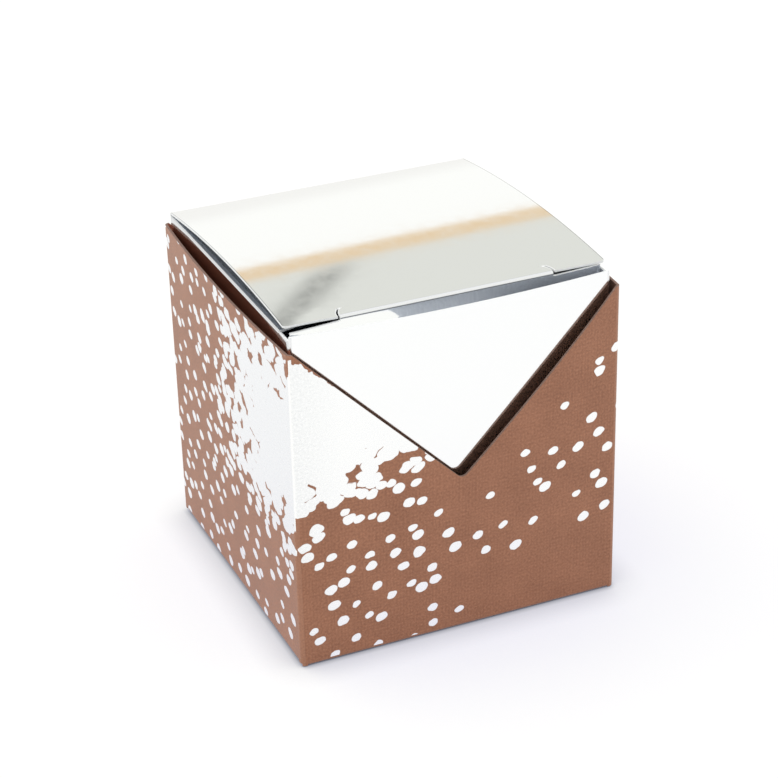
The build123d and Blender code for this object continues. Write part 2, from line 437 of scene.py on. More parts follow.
class Value:
    """Number, place or colour in a node tree, on which arithmetic adds nodes."""

    def __init__(self, tree, socket):
        self.tree = tree
        self.socket = socket

    def calc(self, operation, *others):
        return made(self.tree, "Math", dict(enumerate((self, *others))), operation=operation)

    __add__ = partialmethod(calc, "ADD")
    __sub__ = partialmethod(calc, "SUBTRACT")
    __mul__ = partialmethod(calc, "MULTIPLY")
    __abs__ = partialmethod(calc, "ABSOLUTE")
    __gt__ = partialmethod(calc, "GREATER_THAN")
    __lt__ = partialmethod(calc, "LESS_THAN")
    least = partialmethod(calc, "MINIMUM")
    most = partialmethod(calc, "MAXIMUM")

    def __rsub__(self, other):
        return made(self.tree, "Math", {0: other, 1: self}, operation="SUBTRACT")

    def spread(self, low, high, to_low=0.0, to_high=1.0):
        """Maps a range of values to another, and stops at its ends."""
        inputs = {"Value": self, "From Min": low, "From Max": high, "To Min": to_low, "To Max": to_high}
        return made(self.tree, "MapRange", inputs)

    def mix(self, a, b):
        """Colour between two, for a share of the second."""
        return made(self.tree, "Mix", {0: self, 6: a, 7: b}, output=2, data_type="RGBA")

    def vector(self, operation, other):
        return made(self.tree, "VectorMath", {0: self, 1: other}, operation=operation)

    def turned(self, angle):
        inputs = {"Vector": self, "Axis": (0, 0, 1), "Angle": angle}
        return made(self.tree, "VectorRotate", inputs, rotation_type="AXIS_ANGLE")

    def parts(self):
        return [Value(self.tree, socket) for socket in add(self.tree, "SeparateXYZ", {0: self}).outputs]


def add(tree, kind, inputs=None, **settings):
    node = tree.nodes.new("ShaderNode" + kind)
    for key, value in settings.items():
        setattr(node, key, value)
    for key, value in (inputs or {}).items():
        if isinstance(value, Value):
            value = value.socket
        if isinstance(value, bpy.types.NodeSocket):
            tree.links.new(value, node.inputs[key])
        else:
            node.inputs[key].default_value = value
    return node


def made(tree, kind, inputs=None, output=0, **settings):
    """Output of a new node."""
    return Value(tree, add(tree, kind, inputs, **settings).outputs[output])


def noise(at, scale, detail=2.0, roughness=0.5, output="Fac"):
    inputs = {"Vector": at, "Scale": scale, "Detail": detail, "Roughness": roughness}
    return made(at.tree, "TexNoise", inputs, output)


# The folds' mark, for wear and for painted shade and dim reflection along folds.
def fold_wear_and_shade(at):
    return made(at.tree, "Attribute", output="Fac", attribute_name="wear_and_shade")


def rgb(red, green, blue):
    """Linear colour of an sRGB one, given from 0 to 255."""
    values = np.array([red, green, blue]) / 255
    linear = np.where(values <= 0.04045, values / 12.92, ((values + 0.055) / 1.055) ** 2.4)
    return (*linear.tolist(), 1.0)


def empty_material(name):
    material = bpy.data.materials.new(name)
    material.use_nodes = True
    material.node_tree.nodes.clear()
    return material, material.node_tree


def card_material(name, looks, *options):
    """Material of a card. From the flat place on the card, in millimetres, its looks give colour, roughness,
    metal, and a height with its relief in metres."""
    material, tree = empty_material(name)
    at = made(tree, "UVMap", uv_map="Blank")
    colour, roughness, metal, height, relief = looks(at, *options)
    bump = made(tree, "Bump", {"Height": height, "Distance": relief, "Strength": 1.0})
    inputs = {"Base Color": colour, "Roughness": roughness, "Metallic": metal, "Normal": bump}
    shader = add(tree, "BsdfPrincipled", inputs)
    add(tree, "OutputMaterial", {"Surface": shader.outputs[0]})
    return material


NOISE_RANGE = (0.3, 0.7)  # between which most values of a noise lie

# Foil speckle: solid round the pocket's near upright fold, then merging dots, then single dots. On both
# walls the dots lean up and away from the fold.

DOT_RADIUS = 0.74
DOT_VARIETY = 0.2
DOT_SWELL = 0.4  # growth of a dot at the solid foil's edge, and over which distance
DOT_SWELL_DEPTH = (-8.0, 3.0)
DOT_TILT = math.radians(24)
DOT_STRETCH = 1.16  # length of a dot over the width of a round one
DOT_SOFT = 0.045  # blur of a dot's edge
DOT_SCATTER = 0.7
DOT_LAYERS = (  # cell, share of cells with a dot, offset, and distance over which dots that merge thin out
    (3.35, 0.95, (103.1, 47.7), None),
    (2.8, 0.7, (141.3, 119.9), 20.0),
    (2.8, 0.7, (181.7, 83.2), 15.0),
    (2.8, 0.7, (223.4, 61.5), 10.0),
    (2.8, 0.7, (267.9, 31.8), 6.0),
)
DOT_SHAKE = (0.8, 0.5)  # noise that bends the dots: scale and reach
DOT_MELT = (0.45, 1.9)  # and more so at the solid foil's edge
DOT_MELT_DEPTH = (-13.0, -2.0)
FOLD_CLEAR = 0.85  # no dot is centred this near to the fold
SOLID_LEFT = 19.0  # how far solid foil runs from the fold across the left wall
SOLID_LEFT_FOOT = (23.0, 1.9)  # its lower and upper end there, and how sharply it stops
SOLID_LEFT_TOP = (45.5, 1.5)
SOLID_FRONT_FOOT = (25.0, 2.0)
SOLID_FRONT_SLOPE = 0.42
SOLID_FRONT_END = (20.0, 27.0)  # across the front wall, where only single dots go on
SOLID_FRONT_FALL = (20.0, -25.0)
SOLID_SOFT = 0.15
FOLD_STRIP = (3.0, 18.0)  # strip along the fold where the dots reach further down, and how far
SOLID_STRIP = (2.0, 7.0)  # and the solid foil
CORNER_BARE = 1.1  # bare brown along the top edges beside the fold
CORNER_LEFT = 3.0  # how far it runs on the left and the front wall
CORNER_FRONT = 7.0
CORNER_NOISE = 0.9
CORNER_RAGGED = (0.3, 1.5)
CORNER_SOFT = 0.05
RAGGED_NOISE = (0.3, 3.0, 0.6)  # noise that moves the solid foil's edge: scale, detail and roughness
RAGGED_REACH = 15.0
RAGGED_OFFSET = -13.5
SPECKS = (1.3, 0.68, 0.72)  # tiny bare specks near that edge: scale and thresholds
SPECK_DEPTH = (10.0, 5.0)
THIN_ALONG = (14.0, 26.0)  # fewer single dots towards the front wall's far end and the back wall's
THIN_BACK = (-95.0, -50.0)
THIN_SHARE = 0.5
THIN_FOOT = (24.0, 48.0, 60.0)  # a bare foot rises along the front wall and falls along the right one
THIN_HEIGHT = (-2.0, 12.0)
THIN_SOFT = 2.0
THIN_TOP = (-6.0, -8.0)  # bare brown beside the V's far edge, in height less distance from the fold
LEFT_SHIFT = 200.0  # keeps the two walls' dots from mirroring each other


def foil_depth(u, z, strip, gain):
    """Distance into the solid foil, negative outside it, with a gain in a strip along the near fold. u is
    measured from that fold."""
    foot, foot_rate = SOLID_LEFT_FOOT
    top, top_rate = SOLID_LEFT_TOP
    left = (u + SOLID_LEFT).least((z - foot) * foot_rate).least((top - z) * top_rate)
    foot, foot_rate = SOLID_FRONT_FOOT
    front = (z - (u * SOLID_FRONT_SLOPE + foot)) * foot_rate
    front = front.least(u.spread(*SOLID_FRONT_END, *SOLID_FRONT_FALL))
    return (u > 0) * (front - left) + left + abs(u).spread(0.0, strip, gain, 0.0)


def single_dots(u, z):
    """Share of the single dots, less towards the far ends of the print and the front wall's foot."""
    along = u.spread(*THIN_ALONG, 1.0, THIN_SHARE).least(u.spread(*THIN_BACK, THIN_SHARE, 1.0))
    start, high, end = THIN_FOOT
    foot = u.spread(start, high, *THIN_HEIGHT).least(u.spread(high, end, *reversed(THIN_HEIGHT)))
    top = (z - u).spread(*THIN_TOP).most(u < half_width)
    return along * (z - foot).spread(0.0, THIN_SOFT) * top


def dot_layer(at, on_front, cell, share, offset, reach):
    """One scatter of leaning dots, each whole or absent. With a reach they keep to the solid foil's edge."""
    size = (cell * DOT_STRETCH, cell / DOT_STRETCH, 1)
    u, z, _ = at.parts()
    lift = on_front.spread(0, 1, LEFT_SHIFT, 0.0)
    unfolded = made(at.tree, "CombineXYZ", {0: abs(u), 1: z + lift})
    cells = unfolded.vector("ADD", (*offset, 0)).turned(-DOT_TILT).vector("DIVIDE", size)
    inputs = {"Vector": cells, "Scale": 1.0, "Randomness": DOT_SCATTER}
    scatter = add(at.tree, "TexVoronoi", inputs, voronoi_dimensions="2D", feature="F1").outputs
    centre = Value(at.tree, scatter["Position"]).vector("MULTIPLY", size).turned(DOT_TILT)
    away, height, _ = centre.vector("SUBTRACT", (*offset, 0)).parts()
    u = away * on_front.spread(0, 1, -1.0, 1.0)
    z = height - lift
    depth = foil_depth(u, z, *FOLD_STRIP)
    chance, growth, _ = Value(at.tree, scatter["Color"]).parts()
    near = depth.spread(-reach, 0.0) if reach else single_dots(u, z)
    present = (chance < near * share) * (away > FOLD_CLEAR)
    low, high = ((1 + sign * DOT_VARIETY) * DOT_RADIUS / cell for sign in (-1, 1))
    radius = growth.spread(0, 1, low, high) + depth.spread(*DOT_SWELL_DEPTH, 0.0, DOT_SWELL / cell)
    edge = DOT_SOFT / cell
    return (radius - scatter["Distance"]).spread(-edge, edge) * present


def wandered(at, scale, reach):
    """Place moved about by noise, up to a reach in millimetres."""
    wander = noise(at, scale, 1.0, output="Color").vector("SUBTRACT", (0.5, 0.5, 0.5))
    reaches = made(at.tree, "CombineXYZ", {0: reach, 1: reach})
    return at.vector("ADD", wander.vector("MULTIPLY", reaches))


def corner_foil(at, u, z):
    """Foil that stops short of the top edges beside the fold."""
    fall = (u - notch_shoulder).most(0) * (notch_depth / (half_width - notch_shoulder))
    left = u.spread(-CORNER_LEFT, 0.0, 0.0, CORNER_BARE)
    front = u.spread(0.0, CORNER_FRONT, CORNER_BARE, 0.0)
    margin = left.least(front) * noise(at, CORNER_NOISE).spread(*NOISE_RANGE, *CORNER_RAGGED)
    kept = (pocket_height - z - fall - margin).spread(-CORNER_SOFT, CORNER_SOFT)
    return kept.most(u > CORNER_FRONT)


def foil_mask(at, u, z, on_front):
    depth = foil_depth(u, z, *SOLID_STRIP)
    ragged = noise(at, *RAGGED_NOISE) * RAGGED_REACH + RAGGED_OFFSET
    mask = (depth + ragged).spread(-SOLID_SOFT, SOLID_SOFT)
    scale, low, high = SPECKS
    mask = (mask - noise(at, scale).spread(low, high) * depth.spread(*SPECK_DEPTH)).most(0)
    scale, reach = DOT_MELT
    moved = wandered(wandered(at, *DOT_SHAKE), scale, depth.spread(*DOT_MELT_DEPTH, 0.0, reach))
    for layer in DOT_LAYERS:
        mask = mask.most(dot_layer(moved, on_front, *layer))
    return mask * corner_foil(at, u, z)


# Brown card, dyed through, with a fine felt grain

BROWN_LIGHT = rgb(178, 121, 90)
BROWN_DARK = rgb(133, 83, 56)
BROWN_ROUGH = (0.2, 0.9, 0.38, 0.5)  # from the felt's height to roughness
BROWN_WORN = rgb(186, 138, 112)
WORN_SHARE = 0.25
# Painted shade: a dark brown on the under side of the pocket's foot folds, where the floor's contact shadow
# falls.
BROWN_FOOT_SHADE = rgb(84, 62, 54)
FOOT_SHADE_SHARE = 0.8
FOOT_SHADE_FROM = 0.3  # share of a foot fold above its part with painted shade
# Painted shade: the reverse of the front and right walls is painted darker than the left and back walls'
# reverse, which is about the face's brown.
REVERSE_SHADED_LIGHT = rgb(116, 82, 66)
REVERSE_SHADED_DARK = rgb(94, 64, 50)
REVERSE_LEFT_LIGHT = rgb(188, 110, 80)
REVERSE_LEFT_DARK = rgb(164, 92, 66)
REVERSE_ROUGH = (0.2, 0.9, 0.6, 0.72)
BROWN_EDGE = rgb(150, 122, 110)
BROWN_EDGE_DARK = rgb(112, 84, 72)
FOIL_FRONT = rgb(251, 252, 253)
# Painted shade: the foil on the left wall is painted darker than on the front, a painted reflection of the
# floor's shadow beside it.
FOIL_LEFT_SHADED = rgb(237, 239, 243)
FOIL_GRAIN = rgb(235, 237, 239)
FOIL_NOISE = (3.0, 3.0, 0.6)
FOIL_ROUGH = (0.2, 0.3)
FOIL_GREY = (0.35, 0.7)  # from which noise on the front foil's grain greys
FOIL_GRAINY = (7.0, 0.5)  # distance from the fold over which the front foil's grain comes in
# Painted highlight: pure white on the foil along the pocket's near fold, over the width below.
FOIL_FOLD_HIGHLIGHT = rgb(255, 255, 255)
FOIL_PRESSED = 0.75  # how much of the felt the foil presses flat, and how far the foil stands up
FOIL_LEVEL = 0.3
FOLD_HIGHLIGHT_WIDTH = 0.25
FELT_NOISE = (2.7, 4.0, 0.62)
FELT_SHARE = (0.25, 0.75, 0.02, 0.87)  # from grain to colour
FELT_CLOUDS = (0.16, (-0.12, 0.12))  # slow change of the colour: scale and range
FELT_WAVES = (("X", 0.62, 2.2), ("Y", 0.55, 2.6))  # weave: direction, scale and distortion
FELT_WEAVE = 0.2  # share of the weave in the colour and in the relief
FELT_RIBS = 0.35
FELT_RELIEF = 2.2e-5
EDGE_NOISE = (5.2, 4.0, 0.65)
EDGE_ROUGH = (0.2, 0.8, 0.7, 0.85)
EDGE_RELIEF = 2.5e-5


def felt(at):
    """Colour share and height of the card's felt grain, with a faint weave."""
    grain = noise(at, *FELT_NOISE)
    weave = 1.0
    for direction, scale, distortion in FELT_WAVES:
        inputs = {"Vector": at, "Scale": scale, "Distortion": distortion, "Detail": 2.0, "Detail Scale": 1.6}
        wave = made(at.tree, "TexWave", inputs, "Fac", wave_type="BANDS", bands_direction=direction)
        weave = wave * weave
    scale, clouds = FELT_CLOUDS
    cloud = noise(at, scale).spread(*NOISE_RANGE, *clouds)
    share = weave * FELT_WEAVE + grain.spread(*FELT_SHARE) + cloud
    return share.spread(0, 1), weave * FELT_RIBS + grain


def brown_reverse(at):
    share, height = felt(at)
    # Painted shade: a darker reverse on the front and right walls, a lighter one on the left and back walls.
    on_left = at.parts()[0] < 0
    dark = on_left.mix(REVERSE_SHADED_DARK, REVERSE_LEFT_DARK)
    light = on_left.mix(REVERSE_SHADED_LIGHT, REVERSE_LEFT_LIGHT)
    return share.mix(dark, light), height.spread(*REVERSE_ROUGH), 0.0, height, FELT_RELIEF


def brown_plain(at, worn_and_shaded=BROWN_WORN, worn_and_shaded_share=WORN_SHARE):
    """Unprinted face, with other fibres where it is folded; on the foot folds the fold colour is a painted
    shade instead.
    """
    share, height = felt(at)
    colour = (fold_wear_and_shade(at) * worn_and_shaded_share).mix(share.mix(BROWN_DARK, BROWN_LIGHT), worn_and_shaded)
    return colour, height.spread(*BROWN_ROUGH), 0.0, height, FELT_RELIEF


def brown_printed(at):
    colour, card_rough, _, height, relief = brown_plain(at)
    u, z, _ = at.parts()
    on_front = u > 0
    foil = foil_mask(at, u, z, on_front)
    grain = noise(at, *FOIL_NOISE)
    grey = grain.spread(*FOIL_GREY) * abs(u).spread(*FOIL_GRAINY) * on_front
    # The left wall's foil takes the darker colour: painted shade.
    silver = grey.mix(on_front.mix(FOIL_LEFT_SHADED, FOIL_FRONT), FOIL_GRAIN)
    # Painted highlight: the foil turns white along the fold.
    silver = abs(u).spread(FOLD_HIGHLIGHT_WIDTH, 0.0).mix(silver, FOIL_FOLD_HIGHLIGHT)
    rough = foil * (grain.spread(*NOISE_RANGE, *FOIL_ROUGH) - card_rough) + card_rough
    level = foil * FOIL_LEVEL + height * (1.0 - foil * FOIL_PRESSED)
    return foil.mix(colour, silver), rough, foil, level, relief


def cut_edge(at, light, dark):
    """Fibres of a cut edge."""
    fibre = noise(at, *EDGE_NOISE)
    colour = fibre.spread(*NOISE_RANGE).mix(dark, light)
    return colour, fibre.spread(*EDGE_ROUGH), 0.0, fibre, EDGE_RELIEF


# Mirror card: metallised face, white reverse and core

MIRROR = rgb(249, 250, 251)
MIRROR_SIDE_SHADED = rgb(212, 215, 219)  # the walls and flaps off the front, painted darker than the front as a painted dim reflection
# Folds of the mirror card take a duller silver: wear of the metallised face, and partly a painted dim
# reflection along the crease.
MIRROR_WORN_AND_DIM_REFLECTION = rgb(226, 228, 231)
MIRROR_WEAR_AND_REFLECTION = (0.6, 0.12)  # how much of that colour and of roughness a fold takes on
# Painted dim reflection: grey for the lid's rim and the dust flaps' dark line.
MIRROR_DIM_REFLECTION = rgb(176, 178, 180)
# Painted dark reflection and shade: the grey line along the tuck flap's crease.
TUCK_DARK_REFLECTION = rgb(120, 122, 126)
MIRROR_GRAIN = (2.0, 5.0, 1.0)  # along the card and across it, per millimetre
MIRROR_WAVE = (0.07, 30.0)  # slow unevenness: scale, and height over the grain's
MIRROR_RELIEF = 4e-7
MIRROR_SMUDGE = (0.5, 4.0, 0.6)
MIRROR_ROUGH = (0.05, 0.1)
BOARD_LIGHT = rgb(225, 230, 237)
BOARD_DARK = rgb(208, 213, 222)
BOARD_NOISE = (2.4, 4.0, 0.6)
BOARD_ROUGH = (0.5, 0.62)
BOARD_RELIEF = 8e-6
CORE_LIGHT = rgb(246, 246, 244)
CORE_DARK = rgb(232, 232, 229)


def mirror_face(at, silver, marks=()):
    """Metallised face with a fine grain along the card. A mark has a place, a colour, a gain in roughness
    and a loss of metal."""
    scale, rise = MIRROR_WAVE
    level = noise(at, scale, 1.0) * rise + noise(at.vector("MULTIPLY", MIRROR_GRAIN), 1.0)
    wear_and_shade = fold_wear_and_shade(at)
    worn_and_shaded, rougher = MIRROR_WEAR_AND_REFLECTION
    # Folds turn duller: wear, and partly a painted dim reflection.
    colour = (wear_and_shade * worn_and_shaded).mix(silver, MIRROR_WORN_AND_DIM_REFLECTION)
    rough = wear_and_shade * rougher + noise(at, *MIRROR_SMUDGE).spread(*NOISE_RANGE, *MIRROR_ROUGH)
    metal = 1.0
    for mark, mark_colour, rougher, bare in marks:
        share = mark(at)
        colour = share.mix(colour, mark_colour)
        rough = share * rougher + rough
        metal = share * -bare + metal
    return colour, rough, metal, level, MIRROR_RELIEF


def board_reverse(at):
    grain = noise(at, *BOARD_NOISE)
    colour = grain.spread(*NOISE_RANGE).mix(BOARD_DARK, BOARD_LIGHT)
    return colour, grain.spread(*NOISE_RANGE, *BOARD_ROUGH), 0.0, grain, BOARD_RELIEF


def stock(slot, thickness, *materials):
    """Card with its face, reverse and cut edge."""
    return SimpleNamespace(slot=slot, thickness=thickness, materials=materials)


def brown_card(name, *looks):
    return stock("brown_card", pocket_card, card_material(name, *looks), brown_back, brown_core)


def mirror_card(name, *looks):
    face = card_material(name, mirror_face, *looks)
    return stock("mirror_card", carton_card, face, mirror_back, mirror_core)


brown_back = card_material("brown_card_reverse", brown_reverse)
brown_core = card_material("brown_card_edge", cut_edge, BROWN_EDGE, BROWN_EDGE_DARK)
mirror_back = card_material("mirror_card_reverse", board_reverse)
mirror_core = card_material("mirror_card_edge", cut_edge, CORE_LIGHT, CORE_DARK)
printed_card = brown_card("brown_card_foil_print", brown_printed)
plain_card = brown_card("brown_card_plain", brown_plain)
# Plain brown card with painted shade on its foot folds.
foot_shade_card = brown_card("brown_card_foot_shade", brown_plain, BROWN_FOOT_SHADE, FOOT_SHADE_SHARE)
front_card = mirror_card("mirror_card_front", MIRROR)
# Mirror card painted a darker silver than the front wall: painted dim reflection.
shaded_side_card = mirror_card("mirror_card_side_shaded", MIRROR_SIDE_SHADED)


# Walls, from the glue tab round the back, left, front and right

def wall_plan(half_across, half_along, inset, tab_end, crease):
    """The walls' outer line, with its free end counted as a last fold."""
    plan = folded_path(
        [
            (half_across - inset, tab_end), (half_across - inset, half_along), (-half_across, half_along),
            (-half_across, -half_along), (half_across, -half_along), (half_across, half_along - glue_line),
        ],
        crease, [0] * 5,
    )
    plan.folds.append(fold_between(plan.end, plan.end))
    return plan


def panel(node, outline, low, high, rows, place, card, seams=(), print_origin=0.0):
    """Panel between two folds."""
    outline = np.array(outline)
    lines = (panel_lines(low.end, high.start, low, high), rows)
    seams = [(0, outline[:, 0].min()), (0, outline[:, 0].max()), *seams]
    return make_card(node, outline, lines, place, card, seams, [low, high], print_origin)


def first_flap(node, outline, fold, rows, place, card, print_origin=0.0):
    """Flap from the start of a line to the middle of its first fold."""
    lines = (panel_lines(0, fold.start, fold), rows)
    return make_card(node, outline, lines, place, card, [(0, fold.middle)], [fold], print_origin)


def pocket_walls():
    inset = pocket_card + glue_line
    tab_end = half_depth - 2 * inset - pocket_tab
    plan = wall_plan(half_width, half_depth, inset, tab_end, pocket_crease)
    tab_fold, left_back, near_fold, far_fold, last = plan.folds
    place = upright(plan, pocket_bulge)
    rows = lines_between(bow_start, pocket_height, WALL_STEP)
    print_origin = near_fold.middle
    half_front = (far_fold.middle - near_fold.middle) / 2
    half_side = (near_fold.middle - left_back.middle) / 2
    half_span = half_width - flap_inset
    reach = half_width - notch_shoulder
    top = pocket_height
    for node, low, high, middle, level, notched in (
        ("pocket_back_wall", tab_fold, left_back, left_back.middle - half_front, floor_back, True),
        ("pocket_left_wall", left_back, near_fold, left_back.middle + half_side, floor_side, False),
        ("pocket_front_wall", near_fold, far_fold, near_fold.middle + half_front, 0.0, True),
        ("pocket_right_wall", far_fold, last, far_fold.middle + half_side, floor_side, False),
    ):
        start, end = low.middle, high.middle
        foot, ear = level + pocket_crease, level + ear_gap
        left, right = middle - half_span, middle + half_span
        points = [(start, ear), (left, ear), (left, foot), (right, foot), (right, ear), (end, ear)]
        points.append((end, top))
        if notched:
            points += [(middle + reach, top), (middle, top - notch_depth), (middle - reach, top)]
        points.append((start, top))
        outline = rounded(points, {8: notch_tip} if notched else {})
        w_lines = [foot + CREASE_MARGIN, bow_start, *rows]
        seams = [(1, foot)]
        piece = panel(node, outline, low, high, w_lines, place, printed_card, seams, print_origin)
        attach(piece, "pocket")

    foot, low, high = floor_back + ear_gap, carton_foot + tab_margin, pocket_height - tab_margin
    outline = tab_outline(tab_fold, pocket_tab, foot, low, high, top)
    piece = first_flap("pocket_glue_tab", outline, tab_fold, rows, place, plain_card, print_origin)
    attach(piece, "pocket")


def pocket_bottom():
    half_span = half_width - flap_inset
    columns = lines_between(-half_span, half_span, WALL_STEP)

    def flap(node, path, outline, place, seam, under):
        """Flap from the seam at its wall, with a painted shade on the under side of its fold."""
        shaded_fold = fold_between(*sorted((under, seam + (under - seam) * FOOT_SHADE_FROM)))
        lines = (panel_lines(0, path.end, path.folds[0]), columns)
        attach(make_card(node, outline, lines, place, foot_shade_card, [(0, seam)], [shaded_fold]), "pocket")

    edge = half_depth - front_flap_gap
    path = folded_path([(-half_depth, bow_start), (-half_depth, 0), (edge, 0)], pocket_crease, [0, 0])
    start, end = path.folds[0].start, path.folds[0].end
    outline = rectangle(start, path.end, -half_span, half_span)
    flap("pocket_bottom_front_flap", path, outline, across_x(path), start, end)

    edge = half_depth - back_flap_length
    corners = [(edge, floor_back), (half_depth, floor_back), (half_depth, bow_start)]
    path = folded_path(corners, pocket_crease, [0, 0])
    start, end = path.folds[0].start, path.folds[0].end
    outline = rectangle(0, end, -half_span, half_span)
    flap("pocket_bottom_back_flap", path, outline, across_x(path), end, start)

    edge = -side_flap_gap / 2
    corners = [(-half_width, bow_start), (-half_width, floor_side), (edge, floor_side)]
    path = folded_path(corners, pocket_crease, [0, 0])
    start, end = path.folds[0].start, path.folds[0].end
    root = half_depth - flap_inset
    nose = root - (path.end - start) * flap_taper
    points = [(start, -root), (path.end, -nose), (path.end, nose), (start, root)]
    outline = rounded(points, {1: flap_corner, 2: flap_corner})
    for side, name in SIDES:
        flap(f"pocket_bottom_{name}_flap", path, outline, across_y(path, side), start, end)


def dust_span():
    """Root of a dust flap along the side wall."""
    return dust_tuck_gap - half_carton_depth, half_carton_depth - dust_hinge_gap


def lid_paths():
    """The lid's line down to the tuck flap's tip, and its line where the slits part it from the flap."""
    back = half_carton_depth
    fall = tuck_length * math.cos(tuck_tilt)
    tip = (lid_front + tuck_length * math.sin(tuck_tilt), lid_front_height - fall)
    corners = [(back, carton_top - WALL_STUB), (back, carton_top), (lid_front, lid_front_height), tip]
    tucked = folded_path(corners, carton_crease, [0, lid_rise, 0])
    parted = folded_path(corners[:-1], carton_crease, [0, lid_rise])
    return tucked, parted


def dust_path():
    corners = [
        (dust_edge, dust_top), (-half_carton, dust_top), (-half_carton, dust_foot), (dust_edge, dust_foot),
    ]
    return folded_path(corners, dust_crease, [0, 0, 0])


def carton_walls(lid):
    inset = carton_card + glue_line
    tab_end = half_carton_depth - inset - carton_tab
    plan = wall_plan(half_carton, half_carton_depth, inset, tab_end, carton_crease)
    tab_fold, left_back, near_fold, far_fold, last = plan.folds
    place = upright(plan, carton_bulge)
    rows = lines_between(carton_foot, carton_top, WALL_STEP)

    def wall(node, low, high, points, seams, card=shaded_side_card):
        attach(panel(node, points, low, high, rows, place, card, seams), "carton")

    points = rectangle(near_fold.middle, far_fold.middle, carton_foot, carton_top)
    wall("carton_front_wall", near_fold, far_fold, points, [], front_card)

    top = np.interp(lid.folds[0].start, lid.s, lid.points[:, 1])
    foot = carton_foot + carton_crease
    points = rectangle(tab_fold.middle, left_back.middle, foot, top)
    wall("carton_back_wall", tab_fold, left_back, points, [(1, foot), (1, top)])

    top, foot = dust_top - dust_crease, dust_foot + dust_crease
    high_ear, low_ear = dust_top - ear_gap, dust_foot + ear_gap
    for node, low, high, sense in (
        ("carton_left_wall", left_back, near_fold, -1), ("carton_right_wall", far_fold, last, 1),
    ):
        start, end = low.middle, high.middle
        left, right = sorted((start + end) / 2 + sense * reach for reach in dust_span())
        points = [
            (start, low_ear), (left, low_ear), (left, foot), (right, foot), (right, low_ear),
            (end, low_ear), (end, high_ear), (right, high_ear), (right, top), (left, top),
            (left, high_ear), (start, high_ear),
        ]
        wall(node, low, high, points, [(1, foot), (1, top)])

    low, high = dust_foot + tab_margin, dust_top - tab_margin
    outline = tab_outline(tab_fold, carton_tab, low_ear, low, high, high_ear)
    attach(first_flap("carton_glue_tab", outline, tab_fold, rows, place, shaded_side_card), "carton")


def carton_bottom(dust):
    front = carton_card + tuck_gap - half_carton_depth
    corners = [
        (front, carton_foot + tuck_length), (front, carton_foot), (half_carton_depth, carton_foot),
        (half_carton_depth, carton_foot + WALL_STUB),
    ]
    path = folded_path(corners, carton_crease, [0, 0, 0])
    tuck_fold, back_fold = path.folds
    place = across_x(path, carton_shift)
    columns = lines_between(-half_lid, half_lid, WALL_STEP)
    outline = rectangle(tuck_fold.middle, back_fold.end, -half_lid, half_lid)
    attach(panel("carton_bottom_panel", outline, tuck_fold, back_fold, columns, place, shaded_side_card), "carton")
    outline = rectangle(0, tuck_fold.middle, -half_tuck, half_tuck)
    outline = rounded(outline, {0: tuck_corner, 3: tuck_corner})
    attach(first_flap("carton_bottom_tuck", outline, tuck_fold, columns, place, shaded_side_card), "carton")
    for side, name in SIDES:
        piece = dust_flap(f"carton_bottom_dust_{name}", dust, side, dust.folds[1], dust.end, shaded_side_card)
        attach(piece, "carton")


# Flaps that turn

HOOK_BARE = 0.3  # width of the torn fibres, and how rough they are
HOOK_ROUGH = 0.6
LID_RIM = 0.2
TUCK_DARK_WIDTH = 0.24
DARK_LINE_SOFT = 0.1
DARK_LINE_ROUGH = 0.2
# Painted dim reflection: width of a dark line on the dust flaps beside their fold, for the shaded underside
# of the lid.
DUST_DARK_LINE = 1.1


def dark_line(low, high):
    """Mask of a band along a fold, where a dark line is painted as painted shade and dim reflection."""
    half = (high - low) / 2

    def mark(at):
        return abs(at.parts()[0] - (low + half)).spread(half, half - DARK_LINE_SOFT)

    return mark


def dust_outline(root, edge):
    """Dust flap between its root at the wall and its free edge, drawn in on both sides."""
    front, back = dust_span()
    sense = 1 if edge > root else -1
    neck_back = back - dust_chamfer
    neck = edge - sense * (dust_length - dust_chamfer)
    crease_end = edge - sense * (dust_length - dust_crease)
    points = [
        (root, back), (root, front), (crease_end, front), (edge, front + dust_length * flap_taper),
        (edge, neck_back - (dust_length - dust_chamfer) * flap_taper), (neck, neck_back), (crease_end, back),
    ]
    return rounded(points, {3: flap_corner, 4: flap_corner})


def dust_flap(node, path, side, fold, edge, card):
    """Dust flap from a fold of its line to a free edge. A side of -1 mirrors it to the right."""
    seam = fold.end if edge < fold.start else fold.start
    lines = (panel_lines(*sorted((edge, seam)), fold), lines_between(*dust_span(), WALL_STEP))
    place = across_y(path, side, carton_shift)
    return make_card(node, dust_outline(seam, edge), lines, place, card, [(0, seam)], [fold])


def lid_dust_flaps(dust):
    fold = dust.folds[0]
    # Painted dim reflection: a dark line beside the fold, where the flap shows the lid's shaded underside.
    line = dark_line(fold.start - DUST_DARK_LINE, fold.start - DUST_DARK_LINE / 3)
    card = mirror_card("mirror_card_dust", MIRROR_SIDE_SHADED, [(line, MIRROR_DIM_REFLECTION, DARK_LINE_ROUGH, 0.0)])
    for side, name in SIDES:
        node = f"lid_dust_{name}"
        piece = dust_flap(node, dust, side, fold, 0.0, card)
        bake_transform(piece)


def path_points(path, s):
    section = on_path(path, np.array([s]), 0.0)[0]
    return Vector((carton_shift, section[0], section[1])) * MM


